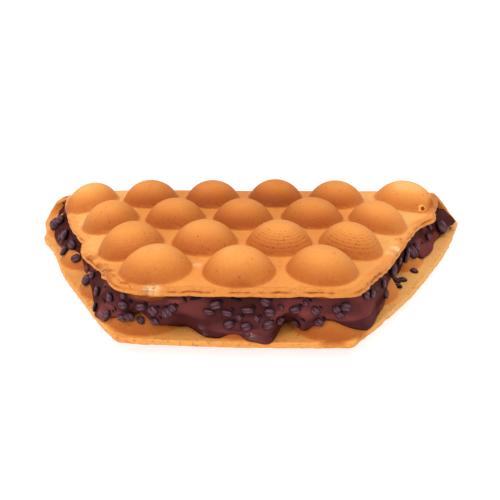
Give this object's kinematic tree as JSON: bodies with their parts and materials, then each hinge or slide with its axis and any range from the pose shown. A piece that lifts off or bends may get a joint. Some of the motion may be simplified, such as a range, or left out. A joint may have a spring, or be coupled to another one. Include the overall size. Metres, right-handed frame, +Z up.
{
  "type": "bubble waffle",
  "caption": "Egg-bubble waffle folded over at the back round a thick chocolate filling that runs out between the halves with small dark beans on it.",
  "frame": {"origin": "on the surface that the waffle lies on, under the middle of its box", "axes": "+Z up, +X along the fold, -Y towards the open front edge where the filling shows"},
  "size_m": [0.2437, 0.1387, 0.0414],
  "materials": {
    "baked_batter": "baked egg batter, golden yellow to deep orange-brown, satin",
    "chocolate": "thick dark chocolate sauce, wet gloss, with small dark beans"
  },
  "bodies": {
    "root": {"waffle": "baked_batter", "filling": "chocolate"}
  },
  "joints": []
}
